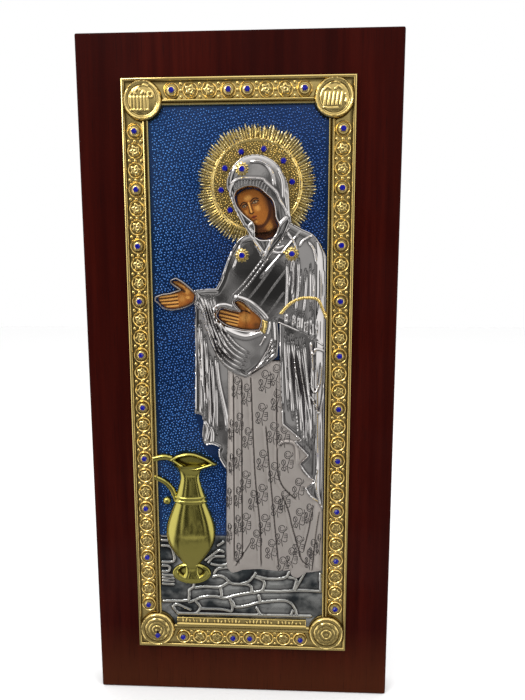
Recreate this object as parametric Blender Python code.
"""Icon panel: a lacquered board, a painted sheet and one pressed metal cover set with glass stones.

Metres, +Z up. The origin is the centre of the board's flat back, and the front faces -Y.
The cover is one relief solid: a height over every point of its sheet, worked out form by form,
from the back of the picture to the front, and triangulated along the outlines and the folds.
"""

import math

import bmesh
import bpy
import numpy as np
from mathutils import Vector
from mathutils.geometry import delaunay_2d_cdt

# Board
BOARD_WIDTH = 0.201
BOARD_HEIGHT = 0.438
BOARD_THICK = 0.018
BOARD_EDGE_ROUND = 0.0012
HANG_SLOT_WIDTH = 0.009
HANG_SLOT_HEIGHT = 0.022
HANG_SLOT_DEPTH = 0.009
HANG_SLOT_BELOW_TOP = 0.045

# Cover and the painted sheet behind it
COVER_WIDTH = 0.144
COVER_HEIGHT = 0.376
COVER_ABOVE_CENTRE = 0.0035
PRINT_THICK = 0.0004
POCKET_MARGIN = 0.008
GAP = 0.0003

# Border of the cover: distances are inwards from its edge, rises are above its back
LIP_WIDTH = 0.0017
LIP_RISE = 0.0036
EDGE_RISE = 0.0018
CHANNEL_START = 0.0028
CHANNEL_END = 0.0131
CHANNEL_RISE = 0.0024
RIDGE_IN = 0.0137
RIDGE_RISE = 0.0038
GROOVE_IN = 0.0148
GROOVE_RISE = 0.0029
RIM_IN = 0.0158
RIM_RISE = 0.0040
BORDER_WIDTH = 0.0167
CLOSE_STEPS = 48
FIELD_RISE = 0.0016
TUCK_WIDTH = 0.0080
TUCK_SHARE = 0.45

# Rosettes in the border, and the medallions on its corners
ROSETTE_RADIUS = 0.0048
ROSETTE_RISE = 0.0036
ROSETTE_IN = 0.0080
ROSETTE_PITCH = 0.0115
ROSETTE_BEVEL = 0.0012
MEDALLION_RADIUS = 0.0122
MEDALLION_IN = 0.0138
MEDALLION_RISE = 0.0056
MEDALLION_RIM = 0.0011
MEDALLION_RING = 0.0062
MEDALLION_STEP = 0.0002
MEDALLION_CLEAR = 0.0006
CORNER_STONE_OFF = (0.0005, -0.0035)
STROKE_RISE = 0.0005
STROKE_WIDTH = 0.0006

# Strip with rows of shallow strokes, and the thick roll under it
STRIP_WIDTH = 0.089
STRIP_HEIGHT = 0.0058
STRIP_RISE = 0.0032
STRIP_ROLL = 0.0042
STRIP_ROLL_DROP = 0.0012
STRIP_STROKES = 26
STRIP_END = 0.003
STRIP_EDGE = 0.0004
WINDOW_RIM_WIDTH = 0.0012
WINDOW_RIM_RISE = 0.0010

# Glass stones
STONE_RADIUS = 0.0019
STONE_HEIGHT = 0.0013
STONE_SIDES = 6
SEAT_MARGIN = 0.0006
SEAT_CLEAR = 0.0003

# Halo
HALO_RADIUS = 0.0285
HALO_RISE = 0.0032
HALO_BEAD = 0.0011
RAY_REACH = 0.0380
RAY_NOTCH = 0.0022
RAY_COUNT = 76
RAY_RISE = 0.0026
RAY_FOOT = 0.0005
RAY_DIP = 0.35
BEAD_SINK = 0.6
HALO_STONE_RADIUS = 0.0220

# Figure and jug, drawn in units that are shares of their own heights
FIGURE_HEIGHT = 0.2745
FIGURE_UNITS = 277.0
FIGURE_AT = (0.0003, 0.0006)
JUG_HEIGHT = 0.0950
JUG_UNITS = 95.0
JUG_FOOT = (-0.0338, -0.1405)
STAR_RADIUS = 0.0042
STAR_TOP = 0.0001
STAR_FOOT = 0.0003
STAR_CLEAR = 0.0006

# Pavement
PAVEMENT_TOP = -0.1060
JOINT_WIDTH = 0.0012
JOINT_RISE = 0.0007
JOINT_TOLERANCE = 0.0004

# How closely the mesh follows the drawing
STEP_EDGE = 0.0005
CURVE_TOLERANCE = 0.00022
FILL_SPACING = 0.0085
MERGE = 0.00012

UNIT = FIGURE_HEIGHT / FIGURE_UNITS
JUG_UNIT = JUG_HEIGHT / JUG_UNITS
COVER_BACK = -(BOARD_THICK + GAP)
POCKET_DEPTH = PRINT_THICK + GAP
HALF_W = COVER_WIDTH / 2
HALF_H = COVER_HEIGHT / 2


def figure(points):
    """Figure units, counted from the middle of the cover, as metres on the cover"""
    return np.array(points, float) * UNIT + np.array(FIGURE_AT)


def jug(points):
    """Jug units, counted from the middle of its foot, as metres on the cover"""
    return np.array(points, float) * JUG_UNIT + np.array(JUG_FOOT)


def smooth_run(points, per_span=8):
    """A Catmull-Rom curve through the points, with PER_SPAN steps between neighbours"""
    p = np.array(points, float)
    if len(p) < 3:
        return p
    ends = np.vstack([2 * p[0] - p[1], p, 2 * p[-1] - p[-2]])
    out = []
    for i in range(1, len(ends) - 2):
        a, b, c, d = ends[i - 1 : i + 3]
        for t in np.arange(per_span) / per_span:
            out.append(
                0.5 * (2 * b + (c - a) * t + (2 * a - 5 * b + 4 * c - d) * t**2
                       + (3 * b - a - 3 * c + d) * t**3)
            )
    out.append(p[-1])
    return np.array(out)


def strokes(*runs):
    """One closed outline from smooth runs that meet at corners"""
    return np.vstack([smooth_run(run)[:-1] for run in runs])


def thin(points, tolerance):
    """The points of a polyline that its shape needs, found by splitting at the furthest one"""
    p = np.array(points, float)
    if len(p) < 3:
        return p
    a, b = p[0], p[-1]
    run = b - a
    length = np.linalg.norm(run)
    if length < 1e-9:
        off = np.linalg.norm(p - a, axis=1)
    else:
        off = np.abs(run[0] * (p[:, 1] - a[1]) - run[1] * (p[:, 0] - a[0])) / length
    far = int(off.argmax())
    if off[far] <= tolerance:
        return np.array([a, b])
    return np.vstack([thin(p[: far + 1], tolerance)[:-1], thin(p[far:], tolerance)])


def circle(centre, radius, sides, turn=0.0):
    """The corners of a regular polygon"""
    angle = turn + np.arange(sides) * math.tau / sides
    return np.array(centre) + radius * np.column_stack([np.cos(angle), np.sin(angle)])


def to_line(points, line, closed=False):
    """For each point its distance to a polyline, and how far along it the nearest place is, 0 to 1"""
    nodes = np.vstack([line, line[:1]]) if closed else np.asarray(line)
    lengths = np.linalg.norm(np.diff(nodes, axis=0), axis=1)
    starts = np.concatenate([[0], np.cumsum(lengths)])
    best = np.full(len(points), np.inf)
    along = np.zeros(len(points))
    for a, b, length, start in zip(nodes[:-1], nodes[1:], lengths, starts):
        if length < 1e-12:
            continue
        run = (b - a) / length
        t = np.clip((points - a) @ run, 0, length)
        off = np.linalg.norm(points - a - t[:, None] * run, axis=1)
        near = off < best
        best = np.where(near, off, best)
        along = np.where(near, (start + t) / starts[-1], along)
    return best, along


def inside(points, outline):
    """Which points lie inside a closed outline, by counting crossings"""
    x, y = points[:, 0], points[:, 1]
    hit = np.zeros(len(points), bool)
    for (ax, ay), (bx, by) in zip(outline, np.roll(outline, -1, axis=0)):
        crosses = (ay > y) != (by > y)
        with np.errstate(divide="ignore", invalid="ignore"):
            hit ^= crosses & (x < (bx - ax) * (y - ay) / (by - ay) + ax)
    return hit


def depth_in(points, outline):
    """Distance inside a closed outline, negative outside"""
    off, _ = to_line(points, outline, closed=True)
    return np.where(inside(points, outline), off, -off)


def smoothstep(t):
    t = np.clip(t, 0, 1)
    return t * t * (3 - 2 * t)


def shoulder(t):
    """A quarter round from 0 to 1"""
    t = np.clip(t, 0, 1)
    return np.sqrt(1 - (1 - t) ** 2)


class Fold:
    """A ridge (rise over 0) or a groove (rise under 0) along a polyline, fading at its ends"""

    def __init__(self, line, rise, half_width, fade=0.12):
        self.line = np.array(line)
        self.rise = rise
        self.half_width = half_width
        self.fade = fade

    def crest(self):
        """Its line with a point added where each end starts to fade"""
        lengths = np.linalg.norm(np.diff(self.line, axis=0), axis=1)
        at = np.concatenate([[0], np.cumsum(lengths)]) / lengths.sum()
        wanted = np.unique(np.concatenate([at, [self.fade, 1 - self.fade]])) if self.fade else at
        return np.column_stack([np.interp(wanted, at, self.line[:, k]) for k in (0, 1)])

    def height(self, points):
        off, along = to_line(points, self.line)
        ends = np.ones(len(points))
        if self.fade:
            ends = smoothstep(np.minimum(along, 1 - along) / self.fade)
        return self.rise * smoothstep(1 - off / self.half_width) * ends


class Form:
    """A raised shape: its height at the edge, how much it swells within REACH, and its folds"""

    def __init__(self, outline, base, crown, reach, folds=()):
        self.outline = np.array(outline)
        self.base = base
        self.crown = crown
        self.reach = reach
        self.folds = list(folds)

    def cover(self, points, under):
        low, high = self.outline.min(axis=0), self.outline.max(axis=0)
        near = np.all((points > low) & (points < high), axis=1)
        result = under.copy()
        if not near.any():
            return result
        p = points[near]
        depth = depth_in(p, self.outline)
        own = self.base + self.crown * shoulder(depth / self.reach)
        for fold in self.folds:
            own = own + fold.height(p)
        weight = smoothstep(depth / STEP_EDGE)
        result[near] = under[near] * (1 - weight) + own * weight
        return result


def between(first, last, count, margin=0.5):
    """COUNT lines spread evenly between two lines that have the same number of points"""
    a, b = np.array(first, float), np.array(last, float)
    return [a + (b - a) * (i + margin) / (count - 1 + 2 * margin) for i in range(count)]


def folds_from(lines, rise, half_width, fade=0.12):
    """Figure folds, with points, rise and width in figure units"""
    return [
        Fold(thin(smooth_run(figure(line)), CURVE_TOLERANCE), rise * UNIT, half_width * UNIT, fade)
        for line in lines
    ]


def stroke_folds(centre, half_sizes, rows, marks):
    """Rows of short strokes that lean this way and that, as worn lettering would"""
    folds = []
    tall = half_sizes[1] / rows * 0.68
    for row in range(rows):
        z = centre[1] + half_sizes[1] * (2 * (row + 0.5) / rows - 1)
        for mark in range(marks):
            x = centre[0] + half_sizes[0] * (2 * (mark + 0.5) / marks - 1)
            lean = tall * (0.0, 0.55, -0.45, 0.25)[(mark + row) % 4]
            ends = [(x - lean, z - tall), (x + lean, z + tall)]
            folds.append(Fold(ends, STROKE_RISE, STROKE_WIDTH, 0))
    return folds


# Figure: outlines and folds, in figure units from the middle of the cover
MANTLE_LEFT = strokes(
    [(-27, 54), (-28.9, 49.5), (-29.4, 20), (-30.4, -22)],
    [(-30.4, -22), (-26, -23.2), (-24.6, -27)],
    [(-24.6, -27), (-25.4, -35), (-24.7, -41.5), (-22.9, -43.6)],
    [(-22.9, -43.6), (-18.6, -42.9), (-14, -44.9)],
    [(-14, -44.9), (-15.2, -50), (-10.2, -59.7)],
    [(-10.2, -59.7), (-4, -60), (0, 0), (2, 54), (-27, 54)],
)
SKIRT = strokes(
    [(-8, 14), (-8.2, -30), (-9.4, -60), (-10.4, -124)],
    [(-10.4, -124), (-9.6, -130), (-6.8, -133.4), (-3.6, -133.2), (1, -131.4)],
    [(1, -131.4), (13, -130.6), (24, -131.6), (33, -131)],
    [(33, -131), (34.6, -135), (38.6, -136.4), (42, -134), (44, -132.4)],
    [(44, -132.4), (56, -131.4), (62, -131)],
    [(62, -131), (62, 14)],
    [(62, 14), (-8, 14)],
)
MANTLE_RIGHT = strokes(
    [(25.4, 42), (25.8, 10), (27.4, -28.2)],
    [(27.4, -28.2), (33, -33), (39.6, -38.4)],
    [(39.6, -38.4), (35, -39)],
    [(35, -39), (41.4, -46.4), (44.1, -48.8)],
    [(44.1, -48.8), (38.6, -54.6)],
    [(38.6, -54.6), (42.2, -61.6), (48.9, -66.7)],
    [(48.9, -66.7), (42.5, -71.3)],
    [(42.5, -71.3), (45.8, -77), (51.4, -81.5), (55, -88), (62, -96)],
    [(62, -96), (62, 44)],
    [(62, 44), (25.4, 42)],
)
TORSO = strokes(
    [(20, 95), (3, 93), (-5, 84), (-9.4, 74), (-12, 66), (-15, 60.4)],
    [(-15, 60.4), (-22, 60.3), (-29.2, 59.4)],
    [(-29.2, 59.4), (-28, 55), (-29, 50)],
    [(-29, 50), (-25, 45), (-21.6, 34), (-17, 21), (-11.6, 12), (-4.7, 6), (3.8, 2.6)],
    [(3.8, 2.6), (8, 5), (16.5, 10.6), (24.4, 16.8)],
    [(24.4, 16.8), (25.2, 28), (24.4, 38.6)],
    [(24.4, 38.6), (33, 35), (42, 30.8), (62, 18.5)],
    [(62, 18.5), (62, 74)],
    [(62, 74), (55.6, 79.6), (53, 85), (46.8, 93.4), (39.2, 97.4), (32, 101.4)],
    [(32, 101.4), (20, 95)],
)
CUFF = strokes(
    [(12.9, 33.4), (14.4, 36.6), (14.6, 40.8)],
    [(14.6, 40.8), (18.2, 39.6)],
    [(18.2, 39.6), (17.8, 35.6), (16.4, 31.2)],
    [(16.4, 31.2), (12.9, 33.4)],
)
VEIL = strokes(
    [(12, 83), (5.5, 96), (1.4, 101.6), (-2.2, 109), (-5.2, 116.6), (-7.4, 123), (-6.6, 129.4),
     (-3, 136), (3, 140.8), (10, 142.3), (17, 141), (24, 136.4), (29, 129), (31.2, 121),
     (32, 110), (33, 101.4)],
    [(33, 101.4), (29, 93), (22, 84), (17, 76)],
    [(17, 76), (12, 83)],
)
FACE_WINDOW = strokes(
    [(10.6, 92.6), (10.6, 98), (9.6, 101.6)],
    [(9.6, 101.6), (4, 106), (-0.6, 111.4), (-2.2, 117), (0, 120.6), (6, 122.8), (12, 121.8),
     (17, 118), (20.6, 114.4), (22, 110), (22.8, 104), (24.6, 99.6), (23, 94.6)],
    [(23, 94.6), (20.4, 91.6), (14, 91), (10.6, 92.6)],
)
HAND_OUT = strokes(
    [(-29, 57.2), (-33, 61), (-37, 64.2), (-41, 66.6)],
    [(-41, 66.6), (-44.2, 65), (-43.6, 63.2), (-38.2, 59.2)],
    [(-38.2, 59.2), (-44, 57.2), (-49.6, 56.4), (-54.2, 54.8)],
    [(-54.2, 54.8), (-54.6, 52.6), (-52.4, 51), (-50, 48)],
    [(-50, 48), (-44, 46.8), (-36, 48.4), (-30.4, 51)],
    [(-30.4, 51), (-28.6, 54), (-29, 57.2)],
)
HAND_IN = strokes(
    [(14.4, 40.4), (12.6, 43), (8, 46.8), (3, 51.6), (-1, 53.4)],
    [(-1, 53.4), (-3.6, 51.8), (-2.4, 49.4), (0.8, 45.6)],
    [(0.8, 45.6), (-6, 46.8), (-11, 48.2), (-13.6, 46.4)],
    [(-13.6, 46.4), (-15, 43), (-13, 40), (-8, 36.6), (-3, 35), (4, 33.6), (12.6, 33.6)],
    [(12.6, 33.6), (13.8, 37), (14.4, 40.4)],
)
WINDOWS = [figure(FACE_WINDOW), figure(HAND_OUT), figure(HAND_IN)]
STARS = [figure([p])[0] for p in ((2.3, 133.3), (2.0, 81.0), (33.2, 81.8))]
HALO_CENTRE = figure([(11, 124)])[0]
HALO_STONE_TURNS = (5, 41, 78, 115, 152, 187, 222)

PLEATS_LEFT = between([(-27.4, 47), (-28, 10), (-29, -21)], [(-13, 20), (-12, -20), (-11.6, -54)], 5, 0.2)
PLEATS_RIGHT = between([(27.5, 37), (28.6, 0), (29.6, -28)], [(55, 22), (55.5, -30), (56, -84)], 7, 0.3)
PLEATS_SHOULDER = between([(31, 73), (28, 49)], [(55, 78), (55, 49)], 6, 0.3)
CHEST_LINES = between([(12.6, 75), (-6.5, 54)], [(31, 74), (17.4, 43)], 4, 0.0)
SWAG_LINES = between(
    [(-25, 56), (-19.6, 30), (-12, 14), (3.6, 4.4), (14, 11), (23.6, 24)],
    [(-11, 37), (-7, 24), (-1, 15), (5, 12), (12, 17), (18.6, 30)], 4, 0.25)
SKIRT_LINES = [
    [(-4.6, -4), (-4.8, -60), (-5, -124)],
    [(0.9, 0), (0.6, -60), (0.6, -116)],
    [(6.6, 0), (9.3, -62), (12.7, -100), (13.3, -130)],
    [(16.4, -28), (19, -60), (21.4, -86), (25.4, -126)],
    [(23.4, -2), (24.2, -55), (26.4, -68), (31.4, -75), (37.7, -80.5)],
    [(26.8, -76), (31.4, -87), (34, -98), (38.6, -115), (41, -123), (46, -127)],
    [(48.4, -83), (45.2, -101), (41.8, -116)],
    [(52.4, -88), (50, -106), (47.8, -131)],
    [(6.4, -110), (-4.2, -128)],
]
KNEE = [(23.4, -47), (25.6, -41.4), (30, -39.6), (34.8, -40.4), (37.2, -44), (37.7, -56)]
HOOD_FRONT = [(-5.4, 112), (-4.7, 119.4), (0.4, 126.8), (8.6, 127.8), (16, 127), (23.4, 121),
              (27.4, 110.4), (30.4, 104.6), (23.4, 96), (16, 83)]
HOOD_FOLD = [(3, 138.4), (12.6, 137.4), (18.8, 133.6), (21.6, 128), (22.6, 122)]
SCARF_EDGE = [(-4, 113), (2.6, 101), (9, 91.6), (15.6, 84.4)]
SHOULDER_FOLD = [(39.4, 96.4), (31.6, 87.4), (20.8, 75), (13, 66)]
STAR_SEATS = (7.2, 7.4, 7.8)
STAR_RISE = 7.4
CORD = [(27.6, 45.4), (31.7, 50.2), (37.7, 53.6), (43.8, 54.4), (49.8, 53.2), (53, 47), (55.6, 42)]
SLEEVE_ROLL = [(-15.6, 40), (-6, 32.6), (3.8, 29.8), (12.2, 30.2), (15.6, 33)]
SLEEVE_EDGE = [(24.8, 38.2), (33, 34.4), (42, 30.2), (57, 20.6)]

# Reliefs of the figure's forms, in figure units: height at the edge, swell, and how far in the swell reaches
MANTLE_LEFT_RELIEF = (3.0, 1.0, 4)
SKIRT_RELIEF = (3.2, 2.0, 13)
MANTLE_RIGHT_RELIEF = (4.6, 0.8, 3)
TORSO_RELIEF = (4.4, 1.8, 9)
CUFF_RELIEF = (6.2, 0.5, 2)
VEIL_RELIEF = (5.0, 1.7, 7)

# Folds, in figure units: rise, half width, and the share of the length over which the ends fade
MANTLE_LEFT_PLEAT = (1.1, 2.2, 0.12)
MANTLE_RIGHT_PLEAT = (1.2, 2.4, 0.05)
SKIRT_LAP = (-1.0, 2.2, 0.06)
KNEE_FOLD = (0.8, 2.4, 0.12)
CHEST_FOLD = (1.0, 2.0, 0.12)
SWAG_FOLD = (1.0, 1.9, 0.06)
ARM_PLEAT = (1.0, 2.2, 0.12)
SHOULDER_SIZE = (1.1, 2.2, 0.12)
SLEEVE_EDGE_SIZE = (0.9, 2.0, 0.04)
SLEEVE_ROLL_SIZE = (1.0, 3.2, 0.1)
CORD_SIZE = (1.1, 1.3, 0.04)
HOOD_FRONT_SIZE = (1.1, 2.0, 0.05)
HOOD_FOLD_SIZE = (0.8, 2.2, 0.12)
SCARF_SIZE = (1.0, 1.8, 0.12)

# Jug: half widths of its turned body at each height over the foot, in jug units
JUG_PROFILE = [(4.6, 6.8), (7, 5.0), (10, 4.4), (13.5, 5.0), (18, 8.6), (27, 14.6), (36, 16.8), (45, 15.6),
               (54, 12.2), (58, 10.6), (59.4, 11.6), (60.8, 10.2), (62.2, 11.2), (63.4, 9.8), (70, 7.6),
               (76, 6.4), (81, 8.2), (84.5, 12.5)]
JUG_BANDS = (58, 59.4, 60.8, 62.2, 63.4)
JUG_ROUND = 0.42
JUG_BASE = 2.4
RIB_SHARES = (-0.8, -0.45, 0, 0.45, 0.8)
RING_SHARES = (-0.95, -0.8, -0.45, 0, 0.45, 0.8, 0.95)
JUG_FOOT_SIZE = (13.4, 7.8)
JUG_FOOT_RELIEF = (2.6, 1.2, 3)
JUG_FOOT_HOLLOW = (8.4, 4.6)
JUG_DISH_RELIEF = (2.8, 0, 1)
JUG_MOUTH = [(-13.4, 88.4), (-7, 92), (1.8, 93.4), (11, 90.4), (18.8, 85.6)]
JUG_MOUTH_LOW = [(18.8, 85.6), (10, 82.6), (3.4, 81), (-5, 83), (-13.4, 88.4)]
JUG_LIP_RELIEF = (5.4, 0.8, 1.6)
JUG_MOUTH_HOLLOW = (0.72, 0.5)
JUG_MOUTH_RELIEF = (3.0, 0, 1)
JUG_ROD_BASE = 2.0
ROD_SHARES = (-1.02, -0.75, 0, 0.75, 1.02)
JUG_HANDLES = [
    ([(-12, 88.4), (-17, 89.4), (-24, 88)], 2.3),
    ([(-9.6, 60), (-12.4, 67), (-17.4, 72.4), (-24, 75.4)], 2.0),
]
JUG_BALL = (-15.8, 59)
JUG_BALL_RADIUS = 2.8
JUG_BALL_RELIEF = (2.0, 2.2, JUG_BALL_RADIUS)

# Pavement: raised joints between the slabs, in figure units
JOINTS = [
    [(-56, -157), (-38, -156.4), (-35.6, -149), (-33, -145), (-33, -141)],
    [(-33, -145.4), (-14, -145), (-9, -141)],
    [(-34, -156.4), (-25, -153), (-13, -153.4), (-3, -151), (12, -149.4)],
    [(-15, -153), (-14.4, -147), (-11, -143.4)],
    [(-22, -137), (-15, -137.4), (-8, -142.4), (2, -143), (7, -149.4)],
    [(2, -142), (8, -137), (12, -131)],
    [(10, -136.4), (30, -138), (33, -133)],
    [(17, -139), (15, -147), (12, -149.4), (20, -147.4), (56, -147.4)],
    [(33, -138), (38, -140), (36, -147)],
    [(43, -133), (37, -146)],
    [(-31, -157), (-29, -161), (-10, -161), (-6, -160), (-8, -155)],
    [(-6, -158), (-2, -160), (10, -158), (13, -156), (12, -150)],
    [(13, -156), (20, -154), (33, -154.4), (37.5, -164)],
    [(-22, -118), (-16, -121), (-11, -119)],
    [(-24, -127), (-16, -130), (-11, -127)],
    [(-56, -120), (-50, -126), (-44, -131)],
    [(-56, -142), (-48, -143), (-44, -139)],
]


def figure_form(outline, relief, *folds):
    """One form of the figure: each fold is its lines and its size"""
    made = [fold for lines, size in folds for fold in folds_from(lines, *size)]
    return Form(figure(outline), *(size * UNIT for size in relief), made)


def figure_forms():
    """The figure's forms, from the back of the picture to the front"""
    return [
        figure_form(MANTLE_LEFT, MANTLE_LEFT_RELIEF, (PLEATS_LEFT, MANTLE_LEFT_PLEAT)),
        figure_form(SKIRT, SKIRT_RELIEF, (SKIRT_LINES, SKIRT_LAP), ([KNEE], KNEE_FOLD)),
        figure_form(MANTLE_RIGHT, MANTLE_RIGHT_RELIEF, (PLEATS_RIGHT, MANTLE_RIGHT_PLEAT)),
        figure_form(TORSO, TORSO_RELIEF, (CHEST_LINES, CHEST_FOLD), (SWAG_LINES, SWAG_FOLD),
                    (PLEATS_SHOULDER, ARM_PLEAT), ([SHOULDER_FOLD], SHOULDER_SIZE),
                    ([SLEEVE_EDGE], SLEEVE_EDGE_SIZE), ([SLEEVE_ROLL], SLEEVE_ROLL_SIZE),
                    ([CORD], CORD_SIZE)),
        figure_form(CUFF, CUFF_RELIEF),
        figure_form(VEIL, VEIL_RELIEF, ([HOOD_FRONT], HOOD_FRONT_SIZE), ([HOOD_FOLD], HOOD_FOLD_SIZE),
                    ([SCARF_EDGE], SCARF_SIZE)),
    ]


class Turned(Form):
    """A half-round form on an upright middle line, as round across as its half width there"""

    def __init__(self, profile, base, roundness, at):
        rows = np.array(profile, float)
        side = smooth_run(rows[:, ::-1], 4)
        self.rows = side * JUG_UNIT
        self.middle = at
        self.roundness = roundness
        outline = np.vstack([side, side[::-1] * [-1, 1]]) * JUG_UNIT + at
        super().__init__(outline, base, 0, 1)

    def cover(self, points, under):
        half = np.interp(points[:, 1] - self.middle[1], self.rows[:, 1], self.rows[:, 0])
        across = np.abs(points[:, 0] - self.middle[0])
        hit = inside(points, self.outline) & (across < half)
        bulge = np.sqrt(np.clip(half**2 - across**2, 0, None))
        own = self.base + self.roundness * bulge
        weight = smoothstep((half - across) / STEP_EDGE)
        return np.where(hit, under * (1 - weight) + own * weight, under)

    def ribs(self):
        """Upright lines down its roundness, with the points that its own profile needs"""
        rows = thin(self.rows, CURVE_TOLERANCE)
        return [rows * (share, 1) + self.middle for share in RIB_SHARES]

    def rings(self, heights):
        """Level lines across it"""
        for height in heights:
            half = np.interp(height, self.rows[:, 1], self.rows[:, 0])
            yield np.array([(share * half, height) for share in RING_SHARES]) + self.middle


def ellipse(centre, half_sizes, sides=28):
    """The corners of an ellipse"""
    return np.array(centre) + circle((0, 0), 1, sides) * half_sizes


def jug_form(outline, relief):
    """One form of the jug"""
    return Form(jug(outline), *(size * JUG_UNIT for size in relief))


def jug_forms():
    """Foot, turned body, mouth and its hollow"""
    mouth = strokes(JUG_MOUTH, JUG_MOUTH_LOW)
    middle = mouth.mean(axis=0)
    return [
        jug_form(ellipse((0, 7.4), JUG_FOOT_SIZE), JUG_FOOT_RELIEF),
        jug_form(ellipse((0, 8.6), JUG_FOOT_HOLLOW), JUG_DISH_RELIEF),
        jug_form(circle(JUG_BALL, JUG_BALL_RADIUS, 10), JUG_BALL_RELIEF),
        Turned(JUG_PROFILE, JUG_BASE * JUG_UNIT, JUG_ROUND, np.array(JUG_FOOT)),
        jug_form(mouth, JUG_LIP_RELIEF),
        jug_form(middle + (mouth - middle) * JUG_MOUTH_HOLLOW, JUG_MOUTH_RELIEF),
    ]


def handle_rods():
    """The jug's two handle ends, as half-round rods"""
    return [(thin(jug(smooth_run(line)), CURVE_TOLERANCE), half * JUG_UNIT) for line, half in JUG_HANDLES]


def rosette_centres():
    """The places of the rosettes, side by side between the medallions, and which hold a stone"""
    found = []
    for run, fixed, upright, name in (
        (HALF_W - MEDALLION_IN, HALF_H - ROSETTE_IN, False, "top"),
        (HALF_W - MEDALLION_IN, -(HALF_H - ROSETTE_IN), False, "bottom"),
        (HALF_H - MEDALLION_IN, -(HALF_W - ROSETTE_IN), True, "left"),
        (HALF_H - MEDALLION_IN, HALF_W - ROSETTE_IN, True, "right"),
    ):
        free = 2 * (run - MEDALLION_RADIUS * 0.98)
        count = max(1, round(free / ROSETTE_PITCH))
        for i in range(count):
            at = (i - (count - 1) / 2) * free / count
            stone = i % 3 == 0 if upright else i in (0, count - 1) or abs(at) < 0.75 * free / count
            centre = (fixed, -at) if upright else (at, fixed)
            found.append((np.array(centre), stone, name))
    return found


def medallion_centres():
    """The four corner medallions"""
    x, z = HALF_W - MEDALLION_IN, HALF_H - MEDALLION_IN
    return [np.array(at) for at in ((-x, z), (x, z), (-x, -z), (x, -z))]


ROSETTES = rosette_centres()
MEDALLIONS = medallion_centres()
CORNER_STONE = MEDALLIONS[2] + np.array(CORNER_STONE_OFF)
STRIP_LOW = -HALF_H + BORDER_WIDTH
STRIP_MIDDLE = (0, STRIP_LOW + 0.5 * (STRIP_HEIGHT + 0.5 * STRIP_ROLL))
STRIP_INSIDE = (STRIP_WIDTH / 2 - STRIP_END, 0.5 * STRIP_HEIGHT - 0.25 * STRIP_ROLL)
STROKES = stroke_folds(STRIP_MIDDLE, STRIP_INSIDE, 1, STRIP_STROKES)
STROKES += stroke_folds(MEDALLIONS[0], (MEDALLION_RING, MEDALLION_RING * 0.7), 1, 4)
STROKES += stroke_folds(MEDALLIONS[1], (MEDALLION_RING * 0.9, MEDALLION_RING * 0.7), 1, 3)
FORMS = figure_forms()
JUG_FORMS = jug_forms()
RODS = handle_rods()


def edge_distance(points):
    """Distance from the cover's outer edge, inwards"""
    return np.minimum(HALF_W - np.abs(points[:, 0]), HALF_H - np.abs(points[:, 1]))


def border_height(inwards):
    """The border's moulding across its width"""
    at = [0, LIP_WIDTH * 0.5, LIP_WIDTH, CHANNEL_START, CHANNEL_END, RIDGE_IN, GROOVE_IN, RIM_IN,
          BORDER_WIDTH]
    rise = [EDGE_RISE, LIP_RISE, LIP_RISE, CHANNEL_RISE, CHANNEL_RISE, RIDGE_RISE, GROOVE_RISE,
            RIM_RISE, FIELD_RISE]
    return np.interp(inwards, at, rise)


def stone_places():
    """Every stone: its name, its middle on the cover and the height of its seat"""
    places = []
    for side in ("top", "bottom", "left", "right"):
        held = [c for c, stone, name in ROSETTES if stone and name == side]
        places += [(f"stone_{side}_{i + 1:02d}", c, ROSETTE_RISE) for i, c in enumerate(held)]
    places.append(("stone_corner", CORNER_STONE, MEDALLION_RISE))
    for i, turn in enumerate(HALO_STONE_TURNS):
        angle = math.radians(turn)
        at = HALO_CENTRE + HALO_STONE_RADIUS * np.array([math.cos(angle), math.sin(angle)])
        places.append((f"stone_halo_{i + 1}", at, HALO_RISE + HALO_BEAD * BEAD_SINK))
    for i, (at, rise) in enumerate(zip(STARS, STAR_SEATS)):
        places.append((f"stone_star_{i + 1}", at, rise * UNIT))
    return places


STONES = stone_places()
SEAT_RADIUS = STONE_RADIUS + SEAT_MARGIN


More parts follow.
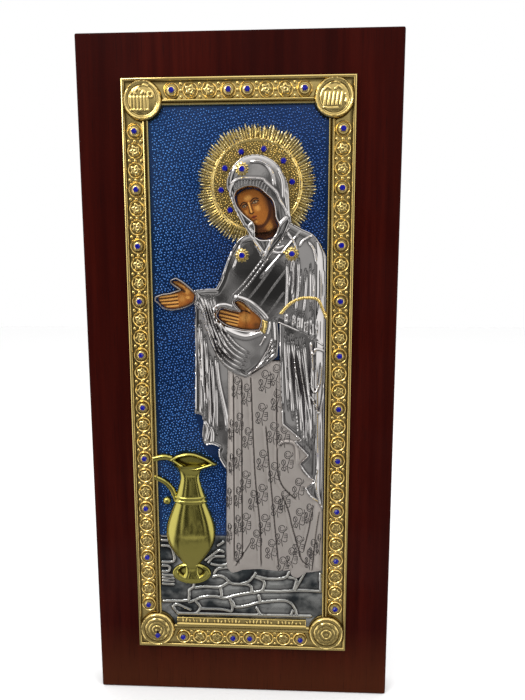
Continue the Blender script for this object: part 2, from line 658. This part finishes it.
def relief_height(points):
    """The front of the cover above its back, at each point"""
    p = np.array(points, float)
    h = np.full(len(p), FIELD_RISE)
    for line in JOINTS:
        joint = Fold(smooth_run(figure(line)), JOINT_RISE, JOINT_WIDTH, 0)
        h = h + np.where(p[:, 1] < PAVEMENT_TOP, joint.height(p), 0)
    away = p - HALO_CENTRE
    radius = np.linalg.norm(away, axis=1)
    turn = np.arctan2(away[:, 1], away[:, 0]) / math.tau * RAY_COUNT
    wave = np.abs((turn % 1) * 2 - 1)
    reach = RAY_REACH - RAY_NOTCH * (1 - wave)
    h = np.where(radius < reach + 1e-6, RAY_RISE - RAY_DIP * RAY_NOTCH * (1 - wave), h)
    bead = HALO_BEAD * smoothstep(1 - np.abs(radius - HALO_RADIUS + HALO_BEAD) / HALO_BEAD)
    h = np.where(radius < HALO_RADIUS, HALO_RISE + bead, h)
    for form in FORMS:
        h = form.cover(p, h)
    for at in STARS:
        off = np.linalg.norm(p - at, axis=1)
        h = np.maximum(h, np.where(off < STAR_RADIUS, STAR_RISE * UNIT, 0))
    for form in JUG_FORMS:
        h = form.cover(p, h)
    for line, half in RODS:
        off, _ = to_line(p, line)
        rod = JUG_ROD_BASE * JUG_UNIT + np.sqrt(np.clip(half**2 - off**2, 0, None))
        h = np.where(off < half, np.maximum(h, rod), h)
    for window in WINDOWS:
        off, _ = to_line(p, window, closed=True)
        low = FIELD_RISE + WINDOW_RIM_RISE
        sunk = low + (h - low) * smoothstep(off / (2 * WINDOW_RIM_WIDTH))
        h = np.where(off < 2 * WINDOW_RIM_WIDTH, sunk, h)
    inwards = edge_distance(p)
    tuck = TUCK_SHARE + (1 - TUCK_SHARE) * smoothstep((inwards - BORDER_WIDTH) / TUCK_WIDTH)
    h = FIELD_RISE + (h - FIELD_RISE) * tuck
    strip = (np.abs(p[:, 0]) < STRIP_WIDTH / 2) & (p[:, 1] < STRIP_LOW + STRIP_HEIGHT)
    h = np.where(strip, STRIP_RISE, h)
    roll = np.abs(p[:, 1] - STRIP_LOW) / (0.5 * STRIP_ROLL)
    h = np.where(inwards < BORDER_WIDTH, border_height(inwards), h)
    on_roll = (np.abs(p[:, 0]) < STRIP_WIDTH / 2) & (roll < 1)
    h = np.where(on_roll, np.maximum(h, RIM_RISE - STRIP_ROLL_DROP * roll**2), h)
    for centre, stone, _ in ROSETTES:
        off = np.linalg.norm(p - centre, axis=1)
        share = smoothstep((ROSETTE_RADIUS - off) / ROSETTE_BEVEL)
        dome = CHANNEL_RISE + (ROSETTE_RISE - CHANNEL_RISE) * share
        h = np.where(off < ROSETTE_RADIUS, np.maximum(h, dome), h)
    for centre in MEDALLIONS:
        off = np.linalg.norm(p - centre, axis=1)
        flat = np.clip(1 - (off / MEDALLION_RADIUS) ** 2, 0, 1)
        dome = RIM_RISE + (MEDALLION_RISE - RIM_RISE) * flat
        near_rim = off > MEDALLION_RADIUS - MEDALLION_RIM
        dome = np.where(near_rim, RIM_RISE + MEDALLION_RIM * BEAD_SINK, dome)
        if centre[1] < 0:
            ring = smoothstep(1 - np.abs(off - MEDALLION_RING) / (2 * STROKE_WIDTH))
            dome = dome + STROKE_RISE * ring
        h = np.where(off < MEDALLION_RADIUS, dome, h)
    for stroke in STROKES:
        h = h + stroke.height(p)
    for _, centre, rise in STONES:
        off = np.linalg.norm(p - centre, axis=1)
        h = np.where(off < SEAT_RADIUS * 1.02, rise, h)
    return h


def offset_in(outline, distance):
    """The outline moved inwards along its corners' own normals"""
    before = outline - np.roll(outline, 1, axis=0)
    after = np.roll(outline, -1, axis=0) - outline
    area = np.sum(outline[:, 0] * np.roll(outline[:, 1], -1) - outline[:, 1] * np.roll(outline[:, 0], -1))
    turn = 1 if area > 0 else -1
    normal = np.zeros_like(outline)
    for run in (before, after):
        length = np.linalg.norm(run, axis=1, keepdims=True)
        length[length < 1e-9] = 1
        normal += turn * np.column_stack([-run[:, 1], run[:, 0]]) / length
    size = np.linalg.norm(normal, axis=1, keepdims=True)
    size[size < 0.4] = 0.4
    return outline + distance * normal / size


def side_line(line, distance):
    """An open polyline moved sideways, at right angles to its own run"""
    line = np.asarray(line, float)
    run = np.gradient(line, axis=0)
    length = np.linalg.norm(run, axis=1, keepdims=True)
    length[length < 1e-9] = 1
    return line + distance * np.column_stack([-run[:, 1], run[:, 0]]) / length


def thin_closed(outline, tolerance):
    """A closed outline with only the points that its shape needs"""
    half = len(outline) // 2
    first = thin(outline[: half + 1], tolerance)
    second = thin(np.vstack([outline[half:], outline[:1]]), tolerance)
    return np.vstack([first[:-1], second[:-1]])


class Drawing:
    """The points and lines that the relief's triangles have to follow"""

    def __init__(self):
        self.points = []
        self.edges = []

    def line(self, points, closed=False, keep=None):
        points = np.asarray(points)
        shown = np.ones(len(points), bool) if keep is None else keep(points)
        start = len(self.points)
        index = {}
        for i, point in enumerate(points):
            if shown[i]:
                index[i] = start + len(index)
                self.points.append(tuple(point))
        last = len(points) if closed else len(points) - 1
        for i in range(last):
            j = (i + 1) % len(points)
            if shown[i] and shown[j]:
                self.edges.append((index[i], index[j]))

    def fill(self, points, spacing):
        """Loose points, each only where nothing else is nearer than the spacing"""
        for point in points:
            have = np.array(self.points)
            if np.min(np.sum((have - point) ** 2, axis=1)) > spacing**2:
                self.points.append(tuple(point))


def in_picture(points):
    """Points of the picture field, clear of the border, the medallions and the strip"""
    clear = edge_distance(points) > BORDER_WIDTH + STEP_EDGE
    for centre in MEDALLIONS:
        clear &= np.linalg.norm(points - centre, axis=1) > MEDALLION_RADIUS + STEP_EDGE
    strip = (np.abs(points[:, 0]) < STRIP_WIDTH / 2) & (points[:, 1] < STRIP_LOW + STRIP_HEIGHT)
    return clear & ~strip


def clear_of(outlines, margin, rounds=()):
    """A test that keeps the points of the picture outside some outlines and some circles"""

    def keep(points):
        shown = in_picture(points)
        for outline in outlines:
            shown &= depth_in(points, outline) < -margin
        for centre, radius in rounds:
            shown &= np.linalg.norm(points - centre, axis=1) > radius
        return shown

    return keep


def draw_border(drawing):
    """Mouldings, medallions, rosettes and the strip"""
    free_x = HALF_W - MEDALLION_IN - MEDALLION_RADIUS + MEDALLION_CLEAR
    free_z = HALF_H - MEDALLION_IN - MEDALLION_RADIUS + MEDALLION_CLEAR
    for inwards in (0, LIP_WIDTH * 0.5, LIP_WIDTH):
        x, z = HALF_W - inwards, HALF_H - inwards
        drawing.line([(-x, -z), (x, -z), (x, z), (-x, z)], closed=True)
    for inwards in (CHANNEL_START, CHANNEL_END, RIDGE_IN, GROOVE_IN, RIM_IN, BORDER_WIDTH):
        x, z = HALF_W - inwards, HALF_H - inwards
        for side in (-1, 1):
            steps = CLOSE_STEPS if side > 0 and inwards == BORDER_WIDTH else 2
            drawing.line([(side * x, up) for up in np.linspace(-free_z, free_z, steps)])
            if side > 0 or inwards < GROOVE_IN:
                drawing.line([(-free_x, side * z), (free_x, side * z)])
    for centre in MEDALLIONS:
        for radius in (MEDALLION_RADIUS + MEDALLION_STEP, MEDALLION_RADIUS - MEDALLION_STEP,
                       MEDALLION_RADIUS - MEDALLION_RIM):
            drawing.line(circle(centre, radius, 20), closed=True)
        for radius in (MEDALLION_RING + 2 * STROKE_WIDTH, MEDALLION_RING, MEDALLION_RING - 2 * STROKE_WIDTH):
            if centre[1] < 0:
                drawing.line(circle(centre, radius, 12), closed=True)
    for stroke in STROKES:
        drawing.line(stroke.line)
        for side in (-1, 1):
            drawing.line(side_line(stroke.line, side * STROKE_WIDTH))
    for centre, stone, _ in ROSETTES:
        drawing.line(circle(centre, ROSETTE_RADIUS, 8, math.pi / 8), closed=True)
        drawing.line(circle(centre, ROSETTE_RADIUS - ROSETTE_BEVEL, 8, math.pi / 8), closed=True)
    low, high = STRIP_LOW, STRIP_LOW + STRIP_HEIGHT
    x = STRIP_WIDTH / 2
    for z in (low - 0.5 * STRIP_ROLL, low, low + 0.5 * STRIP_ROLL):
        drawing.line([(-x, z), (x, z)])
    drawing.line([(-x, high), (x, high)])
    drawing.line([(-x, high + STRIP_EDGE), (x, high + STRIP_EDGE)])


def draw_rounds(drawing):
    """The stones' seats and the star brooches"""
    for _, centre, _ in STONES:
        drawing.line(circle(centre, SEAT_RADIUS, STONE_SIDES), closed=True)
    for centre in STARS:
        drawing.line(circle(centre, STAR_RADIUS - STAR_TOP, 10), closed=True)
        drawing.line(circle(centre, STAR_RADIUS + STAR_FOOT, 10), closed=True)


def draw_picture(drawing):
    """Windows, figure, jug, halo, rays and pavement joints, each where nothing is in front of it"""
    rounds = [(centre, SEAT_RADIUS + SEAT_CLEAR) for _, centre, _ in STONES]
    rounds += [(centre, STAR_RADIUS + STAR_CLEAR) for centre in STARS]
    for window in WINDOWS:
        outline = thin_closed(window, CURVE_TOLERANCE)
        drawing.line(outline, closed=True)
        drawing.line(offset_in(outline, -WINDOW_RIM_WIDTH), closed=True, keep=clear_of([], 0))
        drawing.line(offset_in(outline, -2 * WINDOW_RIM_WIDTH), closed=True, keep=clear_of([], 0))
    windows = [offset_in(window, -2 * WINDOW_RIM_WIDTH) for window in WINDOWS]
    layers = FORMS + JUG_FORMS
    for i, form in enumerate(layers):
        above = [other.outline for other in layers[i + 1 :]] + windows
        keep = clear_of(above, STEP_EDGE * 0.6, rounds)
        outline = thin_closed(form.outline, CURVE_TOLERANCE)
        drawing.line(outline, closed=True, keep=keep)
        drawing.line(offset_in(outline, STEP_EDGE), closed=True, keep=keep)
        if isinstance(form, Turned):
            for line in form.ribs() + list(form.rings(np.array(JUG_BANDS) * JUG_UNIT)):
                drawing.line(line, keep=keep)
        for fold in form.folds:
            draw_fold(drawing, fold, form, keep)
    above = [form.outline for form in layers]
    for line, half in RODS:
        for share in ROD_SHARES:
            drawing.line(side_line(line, share * half), keep=clear_of(above, 0))
    figure_only = [form.outline for form in FORMS]
    keep = clear_of(figure_only, STEP_EDGE * 0.6, rounds)
    for radius in (HALO_RADIUS, HALO_RADIUS - HALO_BEAD, HALO_RADIUS - 2 * HALO_BEAD):
        drawing.line(circle(HALO_CENTRE, radius, 48), closed=True, keep=keep)
    step = math.pi / RAY_COUNT
    star = []
    for i in range(2 * RAY_COUNT):
        reach = RAY_REACH - (RAY_NOTCH if i % 2 else 0)
        star.append(HALO_CENTRE + reach * np.array([math.cos(i * step), math.sin(i * step)]))
    drawing.line(star, closed=True, keep=keep)
    outer = HALO_CENTRE + (np.array(star) - HALO_CENTRE) * (1 + STEP_EDGE / RAY_REACH)
    drawing.line(outer, closed=True, keep=keep)
    drawing.line(circle(HALO_CENTRE, HALO_RADIUS + RAY_FOOT, 2 * RAY_COUNT), closed=True, keep=keep)
    for joint in JOINTS:
        line = thin(smooth_run(figure(joint)), JOINT_TOLERANCE)
        drawing.line(line, keep=clear_of(above, STEP_EDGE))
        for side in (-1, 1):
            drawing.line(side_line(line, side * JOINT_WIDTH), keep=clear_of(above, STEP_EDGE))


def draw_fold(drawing, fold, form, keep):
    """A fold's crest and its two feet, where they lie on their own form"""

    def on_form(points):
        return keep(points) & (depth_in(points, form.outline) > STEP_EDGE)

    drawing.line(fold.crest(), keep=on_form)
    for side in (-0.92, 0.92):
        drawing.line(side_line(fold.line, side * fold.half_width), keep=on_form)


def draw_fill(drawing):
    """An even scatter over what is left"""
    rows = int(COVER_HEIGHT / FILL_SPACING)
    columns = int(COVER_WIDTH / FILL_SPACING)
    grid = []
    for i in range(rows):
        z = -HALF_H + (i + 0.5) * COVER_HEIGHT / rows
        grid += [(-HALF_W + (j + 0.25 + 0.5 * (i % 2)) * COVER_WIDTH / columns, z) for j in range(columns)]
    grid = np.array(grid)
    drawing.fill(grid[in_picture(grid)], 0.5 * FILL_SPACING)


def triangles_of(points, edges):
    """A triangulation that holds every given line"""
    flat = [Vector(point) for point in points]
    corners, _, faces, *_ = delaunay_2d_cdt(flat, edges, [], 0, MERGE)
    return np.array([tuple(c) for c in corners]), np.array([tuple(f) for f in faces])


def loops_of(faces):
    """The border loops of a triangulation, each as a list of corners"""
    count = {}
    for a, b, c in faces:
        for pair in ((a, b), (b, c), (c, a)):
            count[pair] = True
    follow = {a: b for a, b in count if (b, a) not in count}
    loops = []
    while follow:
        start, at = follow.popitem()
        loop = [start]
        while at != start:
            loop.append(at)
            at = follow.pop(at)
        loops.append(loop)
    return loops


def material(name, colour, roughness, metallic):
    """A plain finish"""
    made = bpy.data.materials.new(name)
    made.use_nodes = True
    shader = made.node_tree.nodes["Principled BSDF"]
    shader.inputs["Base Color"].default_value = (*colour, 1)
    shader.inputs["Roughness"].default_value = roughness
    shader.inputs["Metallic"].default_value = metallic
    return made


def add(name, mesh, finish, parent):
    """An object for a finished mesh, in its place"""
    made = bpy.data.objects.new(name, mesh)
    mesh.materials.append(finish)
    made.parent = parent
    bpy.context.scene.collection.objects.link(made)
    return made


def build_cover(parent):
    """The relief over the front, straight walls round it and round its windows, a pocket behind"""
    drawing = Drawing()
    draw_border(drawing)
    draw_rounds(drawing)
    draw_picture(drawing)
    draw_fill(drawing)
    points, faces = triangles_of(drawing.points, drawing.edges)
    middle = points[faces].mean(axis=1)
    solid = np.ones(len(faces), bool)
    for window in WINDOWS:
        solid &= ~inside(middle, thin_closed(window, CURVE_TOLERANCE))
    faces = faces[solid]
    heights = relief_height(points)
    bm = bmesh.new()
    used = sorted(set(faces.ravel()))
    front = {i: bm.verts.new((points[i][0], COVER_BACK - heights[i], points[i][1])) for i in used}
    for face in faces:
        bm.faces.new([front[i] for i in face])
    loops = loops_of(faces)
    outer = max(loops, key=lambda loop: np.ptp(points[loop][:, 1]))
    pocket_x, pocket_z = HALF_W - POCKET_MARGIN, HALF_H - POCKET_MARGIN
    pocket = [(-pocket_x, -pocket_z), (pocket_x, -pocket_z), (pocket_x, pocket_z), (-pocket_x, pocket_z)]
    rim = back_face(bm, [points[outer], np.array(pocket)], COVER_BACK)
    wall(bm, [front[i] for i in outer], rim[0])
    holes = [loop for loop in loops if loop is not outer]
    floor = back_face(bm, [np.array(pocket)] + [points[loop] for loop in holes], COVER_BACK - POCKET_DEPTH)
    wall(bm, rim[1], floor[0])
    for loop, low in zip(holes, floor[1:]):
        wall(bm, [front[i] for i in loop], low)
    bmesh.ops.recalc_face_normals(bm, faces=bm.faces)
    mesh = bpy.data.meshes.new("metal_cover")
    bm.to_mesh(mesh)
    bm.free()
    mesh.shade_smooth()
    mesh.set_sharp_from_angle(angle=math.radians(40))
    return add("metal_cover", mesh, material("gilt_and_silver", (0.66, 0.56, 0.36), 0.25, 1.0), parent)


def back_face(bm, loops, depth):
    """A flat face between closed loops: the first loop outside, the others its holes"""
    points, edges = [], []
    for loop in loops:
        start = len(points)
        points += [tuple(p) for p in loop]
        edges += [(start + i, start + (i + 1) % len(loop)) for i in range(len(loop))]
    corners, _, faces, source, *_ = delaunay_2d_cdt([Vector(p) for p in points], edges, [], 0, 1e-7)
    where = {}
    for new, olds in enumerate(source):
        for old in olds:
            where[old] = new
    made = [bm.verts.new((c[0], depth, c[1])) for c in corners]
    flat = np.array([tuple(c) for c in corners])
    for face in faces:
        middle = flat[list(face)].mean(axis=0)[None, :]
        if inside(middle, loops[0])[0] and not any(inside(middle, loop)[0] for loop in loops[1:]):
            bm.faces.new([made[i] for i in face])
    start = 0
    result = []
    for loop in loops:
        result.append([made[where[start + i]] for i in range(len(loop))])
        start += len(loop)
    return result


def wall(bm, first, second):
    """A band of faces between two loops that have the same corners"""
    for i in range(len(first)):
        j = (i + 1) % len(first)
        bm.faces.new([first[i], first[j], second[j], second[i]])


def build_board(parent):
    """The board with softened edges and a slot in its back for a nail head"""
    bm = bmesh.new()
    bmesh.ops.create_cube(bm, size=1.0)
    bmesh.ops.scale(bm, vec=(BOARD_WIDTH, BOARD_THICK, BOARD_HEIGHT), verts=bm.verts)
    bmesh.ops.translate(bm, vec=(0, -BOARD_THICK / 2, -COVER_ABOVE_CENTRE), verts=bm.verts)
    bmesh.ops.bevel(bm, geom=bm.edges[:], offset=BOARD_EDGE_ROUND, segments=2, profile=0.5,
                    affect="EDGES")
    mesh = bpy.data.meshes.new("wood_panel")
    bm.to_mesh(mesh)
    bm.free()
    board = add("wood_panel", mesh, material("lacquered_wood", (0.10, 0.02, 0.014), 0.15, 0.0), parent)
    slot = bmesh.new()
    half = HANG_SLOT_WIDTH / 2
    top = BOARD_HEIGHT / 2 - COVER_ABOVE_CENTRE - HANG_SLOT_BELOW_TOP
    low = top - HANG_SLOT_HEIGHT
    arc = [math.pi * i / 10 for i in range(11)]
    outline = [(half * math.cos(a), top - half + half * math.sin(a)) for a in arc]
    outline += [(-half * math.cos(a), low + half - half * math.sin(a)) for a in arc]
    face = slot.faces.new([slot.verts.new((x, BOARD_THICK * 0.2, z)) for x, z in outline])
    pulled = bmesh.ops.extrude_face_region(slot, geom=[face])
    moved = [v for v in pulled["geom"] if isinstance(v, bmesh.types.BMVert)]
    bmesh.ops.translate(slot, vec=(0, -BOARD_THICK * 0.2 - HANG_SLOT_DEPTH, 0), verts=moved)
    bmesh.ops.recalc_face_normals(slot, faces=slot.faces)
    cutter_mesh = bpy.data.meshes.new("nail_slot")
    slot.to_mesh(cutter_mesh)
    slot.free()
    cutter = bpy.data.objects.new("nail_slot", cutter_mesh)
    cutter.hide_render = True
    cutter.display_type = "WIRE"
    cutter.parent = parent
    bpy.context.scene.collection.objects.link(cutter)
    cut = board.modifiers.new("nail_slot", "BOOLEAN")
    cut.operation = "DIFFERENCE"
    cut.object = cutter
    mesh.shade_smooth()
    mesh.set_sharp_from_angle(angle=math.radians(50))
    return board


def build_print(parent):
    """The painted sheet that lies in the pocket behind the cover"""
    bm = bmesh.new()
    bmesh.ops.create_cube(bm, size=1.0)
    width = COVER_WIDTH - 2 * (POCKET_MARGIN + GAP)
    height = COVER_HEIGHT - 2 * (POCKET_MARGIN + GAP)
    bmesh.ops.scale(bm, vec=(width, PRINT_THICK, height), verts=bm.verts)
    bmesh.ops.translate(bm, vec=(0, COVER_BACK - PRINT_THICK / 2, 0), verts=bm.verts)
    mesh = bpy.data.meshes.new("picture_print")
    bm.to_mesh(mesh)
    bm.free()
    return add("picture_print", mesh, material("painted_sheet", (0.55, 0.25, 0.07), 0.5, 0.0), parent)


def stone_mesh():
    """A cut glass stone: a low girdle, a ring of slanting facets and a flat table"""
    bm = bmesh.new()
    rings = []
    for radius, height, turn in (
        (STONE_RADIUS * 0.96, 0, 0),
        (STONE_RADIUS, STONE_HEIGHT * 0.25, 0),
        (STONE_RADIUS * 0.55, STONE_HEIGHT, 0.5),
    ):
        angle = turn * math.tau / STONE_SIDES
        corners = circle((0, 0), radius, STONE_SIDES, angle)
        rings.append([bm.verts.new((x, -height, z)) for x, z in corners])
    bm.faces.new(rings[0])
    bm.faces.new(rings[2])
    for i in range(STONE_SIDES):
        j = (i + 1) % STONE_SIDES
        bm.faces.new([rings[0][i], rings[0][j], rings[1][j], rings[1][i]])
        bm.faces.new([rings[1][i], rings[1][j], rings[2][i]])
        bm.faces.new([rings[2][i], rings[1][j], rings[2][j]])
    bmesh.ops.recalc_face_normals(bm, faces=bm.faces)
    mesh = bpy.data.meshes.new("glass_stone")
    bm.to_mesh(mesh)
    bm.free()
    return mesh


def build_stones(parent):
    """One stone for each seat, all of one cut"""
    mesh = stone_mesh()
    mesh.materials.append(material("blue_glass", (0.01, 0.02, 0.45), 0.05, 0.0))
    for name, centre, rise in STONES:
        made = bpy.data.objects.new(name, mesh)
        made.location = (centre[0], COVER_BACK - rise - GAP, centre[1])
        made.parent = parent
        bpy.context.scene.collection.objects.link(made)


def build():
    """The whole panel, on one empty at the middle of its back"""
    for old in list(bpy.data.objects):
        bpy.data.objects.remove(old, do_unlink=True)
    panel = bpy.data.objects.new("panel_back", None)
    bpy.context.scene.collection.objects.link(panel)
    picture = bpy.data.objects.new("cover_middle", None)
    picture.parent = panel
    bpy.context.scene.collection.objects.link(picture)
    build_board(picture)
    build_print(picture)
    build_cover(picture)
    build_stones(picture)
    picture.location = (0, 0, COVER_ABOVE_CENTRE)


build()
